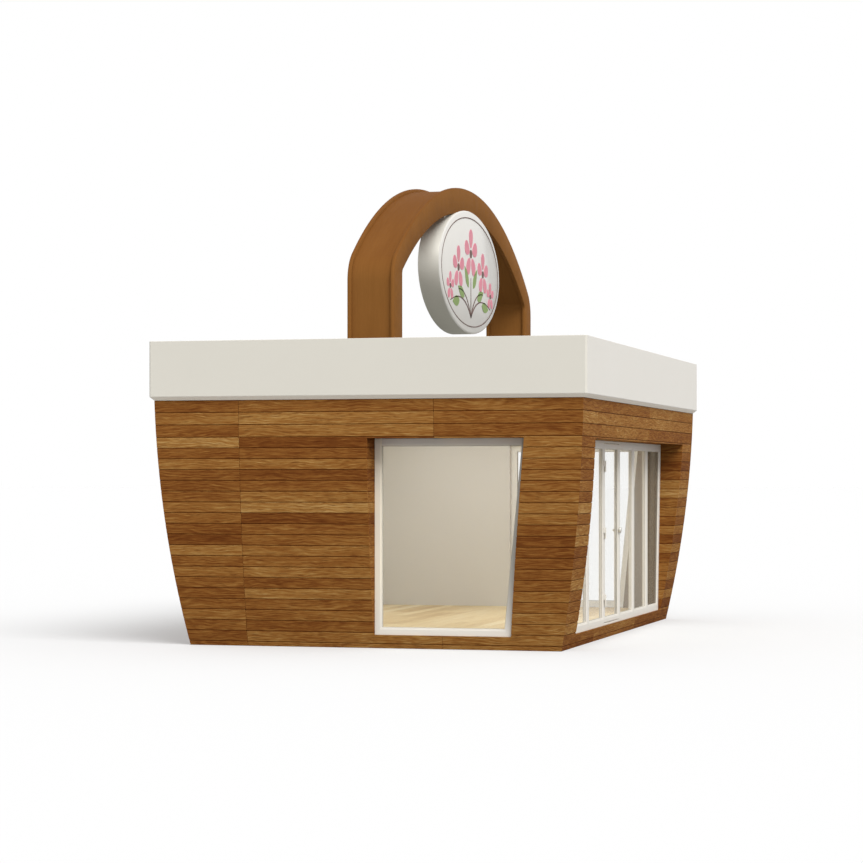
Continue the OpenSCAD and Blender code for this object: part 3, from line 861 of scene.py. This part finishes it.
def planterBox():
    low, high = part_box("fascia_right")
    thick = high.x - low.x
    bevelTop = low.z + planter["bevel"]
    soft = planter["bevelRound"]
    rim = planter["rimRound"]
    turn = rim * planter["roundShare"]
    profile = [(thick, low.z), (soft, bevelTop - soft), (0, bevelTop + soft),
               (0, high.z - rim), (turn, high.z - turn), (rim, high.z),
               (thick - rim, high.z), (thick - turn, high.z - turn), (thick, high.z - rim)]
    boxRing("planterBox", high.x, high.y, planter["cornerCut"], profile, "planter",
            ("fascia_front", "fascia_back", "fascia_left", "fascia_right"))
    low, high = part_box("planter_boards_sides")
    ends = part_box("planter_boards_ends")[1]
    thick = ends.y - high.y
    profile = [(0, low.z), (0, high.z - rim), (rim, high.z),
               (thick - rim, high.z), (thick, high.z - rim), (thick, low.z)]
    boxRing("planterLiner", high.x, ends.y, planter["linerCut"], profile, "liner",
            ("planter_boards_ends", "planter_boards_sides"))


planterBox()

roofing = dict(sheet=1.05, lap=0.06, step=0.003, chamfer=0.002, border=0.3, sideClear=0.03, legClear=0.5)


def roofSheets():
    low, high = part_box("roof_deck")
    work = bmesh.new()
    loft(work, [levelRing(low.x, low.y, high.x, high.y, z) for z in (low.z, high.z)])
    count = math.floor((high.y - low.y - 2 * roofing["border"]) / roofing["sheet"])
    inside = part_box("planter_boards_sides")[1].x - roofing["sideClear"]
    lap = roofing["lap"] / 2
    for sheet in range(1, count + 1):
        y = low.y + roofing["border"] + sheet * roofing["sheet"]
        if abs(y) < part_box("handle_band")[1].y - roofing["legClear"]:
            loft(work, [levelRing(-inside, y - lap + inset, inside, y + lap - inset, z)
                        for z, inset in ((high.z, 0), (high.z + roofing["step"], roofing["chamfer"]))])
    piece("roofSheets", shut("roofSheets", work), "roofing", covers=("roof_deck",))


roofSheets()
print("roof and planter made")


handle = dict(crownRadius=4.94, soffitRadius=4.88, crownBand=0.295, shoulder=0.38, kink=0.075, legDepth=0.325,
              cheek=0.044, dip=0.036, edge=0.014, roundShare=0.3, grooveShare=0.8, steps=22,
              tone=0.5, crownShade=0.5, grainStep=0.004)


def archCurve(half, radius, top, fillet, floor):  # one half of a curve, from the deck to the crown
    centre = top - radius
    pivotY = half - fillet
    pivotZ = centre + math.sqrt((radius - fillet) ** 2 - pivotY ** 2)
    lean = math.atan2(pivotZ - centre, pivotY)
    steps = handle["steps"]
    points = [(half, floor + (pivotZ - floor) * step / steps) for step in range(steps)]
    for step in range(steps):
        angle = lean * step / steps
        points.append((pivotY + fillet * math.cos(angle), pivotZ + fillet * math.sin(angle)))
    rest = math.pi / 2 - lean
    for step in range(steps + 1):
        angle = lean + rest * step / steps
        points.append((radius * math.cos(angle), centre + radius * math.sin(angle)))
    return points


def archSection(half):  # across the arch: (side to side, on the outer curve, sunk below it)
    edge = handle["edge"]
    soft = edge * handle["roundShare"]
    step = half - handle["cheek"]
    right = [(step, handle["dip"]), (step, edge * handle["grooveShare"]), (step + soft, soft),
             (step + edge, 0), (half - edge, 0), (half - soft, soft), (half, edge)]
    left = [(-side, sunk) for side, sunk in reversed(right)]
    outer = [(side, True, sunk) for side, sunk in left + right]
    return outer + [(side, False, sunk) for side, _, sunk in reversed(outer)]


def handleArch():
    low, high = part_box("handle_cheek_right")
    half = high.x
    outerHalf = high.y
    innerHalf = outerHalf - handle["legDepth"]
    top = high.z
    outer = archCurve(outerHalf, handle["crownRadius"], top, handle["shoulder"], low.z)
    inner = archCurve(innerHalf, handle["soffitRadius"], top - handle["crownBand"], handle["kink"], low.z)
    front = [((-outY, outZ), (-inY, inZ)) for (outY, outZ), (inY, inZ) in zip(outer, inner)]
    back = list(zip(outer, inner))[::-1]
    pairs = front + back[1:]
    section = archSection(half)
    rings = []
    lengths = []
    travelled = 0
    last = None
    for far, near in pairs:
        far, near = Vector(far), Vector(near)
        inward = (near - far).normalized()
        middle = (far + near) / 2
        travelled += (middle - last).length if last is not None else 0
        last = middle
        lengths.append(travelled)
        ring = []
        for side, onOuter, sunk in section:
            flat = far + inward * sunk if onOuter else near - inward * sunk
            ring.append(Vector((side, flat.x, flat.y)))
        rings.append(ring)
    work = bmesh.new()
    loft(work, rings)
    mesh = shut("handleArch", work, True)

    def crownShadeTone(polygon):  # darker where the arch looks up: painted shade on the top of the arch
        return handle["tone"] - handle["crownShade"] * max(0, polygon.normal.z)

    def archGrain(polygon, vertex):  # grain follows the curve
        ring, place = divmod(vertex.index, len(section))
        deep = place * handle["grainStep"]
        return Vector((lengths[ring], vertex.co.x + deep, deep))

    grainLayers(mesh, crownShadeTone, archGrain)
    piece("handleArch", mesh, "arch",
          covers=("handle_band", "handle_cheek_right", "handle_cheek_left"))


handleArch()
print("handle arch made")


signLook = dict(turns=144, backRound=0.010, lip=0.005, roundShare=0.3, bevel=0.017, bevelShare=0.75,
                panelEdge=0.004, panelRound=0.002)


def ovalRing(x, halfLong, halfTall, centre):
    angles = [math.tau * step / signLook["turns"] for step in range(signLook["turns"])]
    return [Vector((x, halfLong * math.cos(angle), centre + halfTall * math.sin(angle))) for angle in angles]


def signBox():
    low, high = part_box("sign_box")
    centre = (low.z + high.z) / 2
    long, tall = high.y, (high.z - low.z) / 2
    back, lip = signLook["backRound"], signLook["lip"]
    share = signLook["roundShare"]
    steps = [(low.x, back), (low.x + back * share, back * share), (low.x + back, 0),
             (high.x - lip, 0), (high.x - lip * share, lip * share), (high.x, lip)]
    work = bmesh.new()
    loft(work, [ovalRing(x, long - inset, tall - inset, centre) for x, inset in steps])
    piece("signCase", shut("signCase", work, True), "case", covers=("sign_box",))
    low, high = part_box("sign_panel")
    long, tall = high.y, (high.z - low.z) / 2
    bevel = signLook["bevel"]
    work = bmesh.new()
    steps = [(low.x, 0), (low.x + signLook["panelEdge"], 0),
             (high.x - signLook["panelRound"], bevel * signLook["bevelShare"]), (high.x, bevel)]
    loft(work, [ovalRing(x, long - inset, tall - inset, centre) for x, inset in steps])
    piece("signPanel", shut("signPanel", work, True), "panel", covers=("sign_panel",))


signBox()

emblem = dict(thick=0.003, line=0.012, lineInset=0.075, stem=0.022,
              blossoms=[(0.0, 0.22, 0.30), (-0.56, 0.02, 0.26), (0.56, 0.02, 0.26),
                        (-0.92, -0.22, 0.17), (0.92, -0.22, 0.17)],
              leaves=[(-0.30, -0.30, 160), (0.30, -0.30, 20), (-0.52, -0.36, 186), (0.52, -0.36, -6),
                      (-0.10, -0.18, 128), (0.10, -0.18, 52)],
              leafLength=0.30, leafWidth=0.12, leafTip=0.001, leafFull=0.8, leafSteps=12, root=(0.0, -0.53),
              stemSteps=16, stemTaper=0.55, stemTop=0.95, bendShare=0.35, bendDrop=0.2,
              petals=5, petalSteps=24, petalMiddle=0.60, petalReach=0.37, petalHalf=0.27, petalFull=0.25,
              heart=0.17)


def flatShape(work, points, x):  # thin plate cut to an outline, across and up
    loft(work, [[Vector((x + rise, y, z)) for y, z in points] for rise in (0, emblem["thick"])])


def stemPoints(root, tip, bend, wide):  # tapering curved strip
    left, right = [], []
    for step in range(emblem["stemSteps"] + 1):
        share = step / emblem["stemSteps"]
        y = root[0] * (1 - share) ** 2 + 2 * bend[0] * share * (1 - share) + tip[0] * share ** 2
        z = root[1] * (1 - share) ** 2 + 2 * bend[1] * share * (1 - share) + tip[1] * share ** 2
        slopeY = 2 * (1 - share) * (bend[0] - root[0]) + 2 * share * (tip[0] - bend[0])
        slopeZ = 2 * (1 - share) * (bend[1] - root[1]) + 2 * share * (tip[1] - bend[1])
        size = math.hypot(slopeY, slopeZ)
        half = wide * (1 - emblem["stemTaper"] * share) / 2
        left.append((y - slopeZ / size * half, z + slopeY / size * half))
        right.append((y + slopeZ / size * half, z - slopeY / size * half))
    return left + right[::-1]


def turned(points, y, z, angle):  # points of a shape swung round its foot and moved to y, z
    lean, rise = math.cos(angle), math.sin(angle)
    return [(y + along * lean - across * rise, z + along * rise + across * lean) for along, across in points]


def leafPoints():  # pointed leaf from its foot
    upper, lower = [], []
    for step in range(emblem["leafSteps"] + 1):
        share = step / emblem["leafSteps"]
        along = emblem["leafLength"] * share
        swell = math.sin(math.pi * share ** emblem["leafFull"])
        half = emblem["leafWidth"] * swell / 2 + emblem["leafTip"]
        upper.append((along, half))
        lower.append((along, -half))
    return upper + lower[::-1]


def petalPoints(radius):  # petal from the heart outwards
    points = []
    for step in range(emblem["petalSteps"]):
        angle = math.tau * step / emblem["petalSteps"]
        along = radius * (emblem["petalMiddle"] + emblem["petalReach"] * math.cos(angle))
        swell = 1 + emblem["petalFull"] * math.cos(angle)
        points.append((along, radius * emblem["petalHalf"] * math.sin(angle) * swell))
    return points


def heartPoints(y, z, radius):
    angles = [math.tau * step / emblem["petalSteps"] for step in range(emblem["petalSteps"])]
    return [(y + radius * math.cos(angle), z + radius * math.sin(angle)) for angle in angles]


def signEmblem():
    low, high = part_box("sign_panel")
    centre = (low.z + high.z) / 2
    x = high.x
    petals, leaves, stems = bmesh.new(), bmesh.new(), bmesh.new()
    root = (emblem["root"][0], centre + emblem["root"][1])
    for y, z, radius in emblem["blossoms"]:
        tip = (y, centre + z - radius * emblem["stemTop"])
        bend = (y * emblem["bendShare"], centre - emblem["bendDrop"])
        flatShape(stems, stemPoints(root, tip, bend, emblem["stem"]), x)
        for count in range(emblem["petals"]):
            angle = math.pi / 2 + math.tau * count / emblem["petals"]
            flatShape(petals, turned(petalPoints(radius), y, centre + z, angle), x)
        flatShape(stems, heartPoints(y, centre + z, radius * emblem["heart"]), x)
    for y, z, turn in emblem["leaves"]:
        flatShape(leaves, turned(leafPoints(), y, centre + z, math.radians(turn)), x)
    long = high.y - emblem["lineInset"]
    tall = (high.z - low.z) / 2 - emblem["lineInset"]
    line = emblem["line"]
    rings = [ovalRing(x + rise, long - inset, tall - inset, centre)
             for inset, rise in ((0, 0), (0, emblem["thick"]), (line, emblem["thick"]), (line, 0))]
    loft(stems, rings, closed=True)
    for name, work, finish in (("signPetals", petals, "petal"), ("signLeaves", leaves, "leaf"),
                               ("signStems", stems, "stem")):
        piece(name, shut(name, work), finish)


signEmblem()
print("sign made")


endPaneShade = dict(colour=linear(102, 85, 62), cover=0.57)  # the last pane of the screen gets a dark film: painted shade of the wall end behind it
finishes["endGlassPaintedShade"] = clearGlass("endGlassPaintedShade", (endPaneShade["colour"], endPaneShade["cover"], 2 * bayWidth))
for node, finish in (("floor_base", "chassis"), ("front_lining", "lining"), ("back_lining", "farLiningPaintedShade"),
                     ("right_lining", "lining"), ("left_lining", "lining"), ("ceiling", "ceiling"),
                     ("front_window_glass", "glass"), ("back_window_glass", "glass"),
                     ("screen_glass_front", "glass"), ("screen_glass_back", "endGlassPaintedShade"),
                     ("door_glass", "glass")):
    dress(node, finish)
print("linings and glass finished")


studio = dict(floorSize=400, floorDrop=0.0005, floorColour=linear(195, 195, 195),
              floorGlow=(0.2, 0.2, 0.2, 1), bounceColour=linear(150, 150, 150), sky=0.85,
              sunPower=2.6, sunSpread=38, sunTilt=42, sunTurn=45, roomPower=54, roomMargin=1.0, roomDrop=0.02)


def studioFloor():
    size = studio["floorSize"]
    work = bmesh.new()
    bmesh.ops.create_grid(work, x_segments=1, y_segments=1, size=size)
    bmesh.ops.translate(work, verts=work.verts, vec=(0, 0, -studio["floorDrop"]))
    mesh = shut("studioFloor", work)
    ground = bpy.data.objects.new("studioFloor", mesh)
    bpy.context.scene.collection.objects.link(ground)
    pale = Finish("paleFloor")
    path = pale.node("ShaderNodeLightPath", {}, {}, "Is Camera Ray")
    colour = pale.blend(path, studio["bounceColour"], studio["floorColour"])
    glow = pale.blend(path, (0, 0, 0, 1), studio["floorGlow"])
    mesh.materials.append(pale.close(Base_Color=colour, Roughness=0.9, Specular_IOR_Level=0.0,
                                     Emission_Color=glow, Emission_Strength=1.0))


def studioLight():
    sky = Finish("studioSky", True)
    direct = sky.node("ShaderNodeLightPath", {}, {}, "Is Camera Ray")
    through = sky.node("ShaderNodeLightPath", {}, {}, "Is Transmission Ray")
    seen = sky.node("ShaderNodeMath", {"operation": "MAXIMUM"}, {0: direct, 1: through})
    level = sky.between(seen, 0.0, 1.0, studio["sky"], 1.0)
    white = sky.node("ShaderNodeBackground", {}, {"Color": (1, 1, 1, 1), "Strength": level})
    bpy.context.scene.world = sky.wear(white)
    lamp = bpy.data.lights.new("softSun", "SUN")
    lamp.energy = studio["sunPower"]
    lamp.angle = math.radians(studio["sunSpread"])
    sun = bpy.data.objects.new("softSun", lamp)
    sun.rotation_euler = (math.radians(studio["sunTilt"]), 0, math.radians(studio["sunTurn"]))
    bpy.context.scene.collection.objects.link(sun)
    glow = bpy.data.lights.new("roomLight", "AREA")
    glow.shape = "RECTANGLE"
    glow.size = 2 * roomX - studio["roomMargin"]
    glow.size_y = 2 * roomY - studio["roomMargin"]
    glow.energy = studio["roomPower"]
    ceilingLamp = bpy.data.objects.new("roomLight", glow)
    ceilingLamp.location = (0, 0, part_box("ceiling")[0].z - studio["roomDrop"])
    ceilingLamp.visible_camera = False
    ceilingLamp.visible_glossy = False
    bpy.context.scene.collection.objects.link(ceilingLamp)


studioFloor()
studioLight()
bpy.context.scene.view_settings.view_transform = "Standard"

picture = dict(pixels=863, focal=2442.2, middleX=474.92, middleY=477.50, turn=0.2563,
               place=(7.6238, -27.8522, 1.8099), sensor=36.0, reach=1000)


def camera():
    lens = bpy.data.cameras.new("photoView")
    lens.sensor_width = picture["sensor"]
    lens.lens = picture["focal"] / picture["pixels"] * picture["sensor"]
    lens.shift_x = (picture["pixels"] / 2 - picture["middleX"]) / picture["pixels"]
    lens.shift_y = (picture["middleY"] - picture["pixels"] / 2) / picture["pixels"]
    lens.clip_end = picture["reach"]
    view = bpy.data.objects.new("photoView", lens)
    view.location = picture["place"]
    view.rotation_euler = (math.pi / 2, 0, picture["turn"])
    bpy.context.scene.collection.objects.link(view)
    bpy.context.scene.camera = view


camera()
print("scene ready")
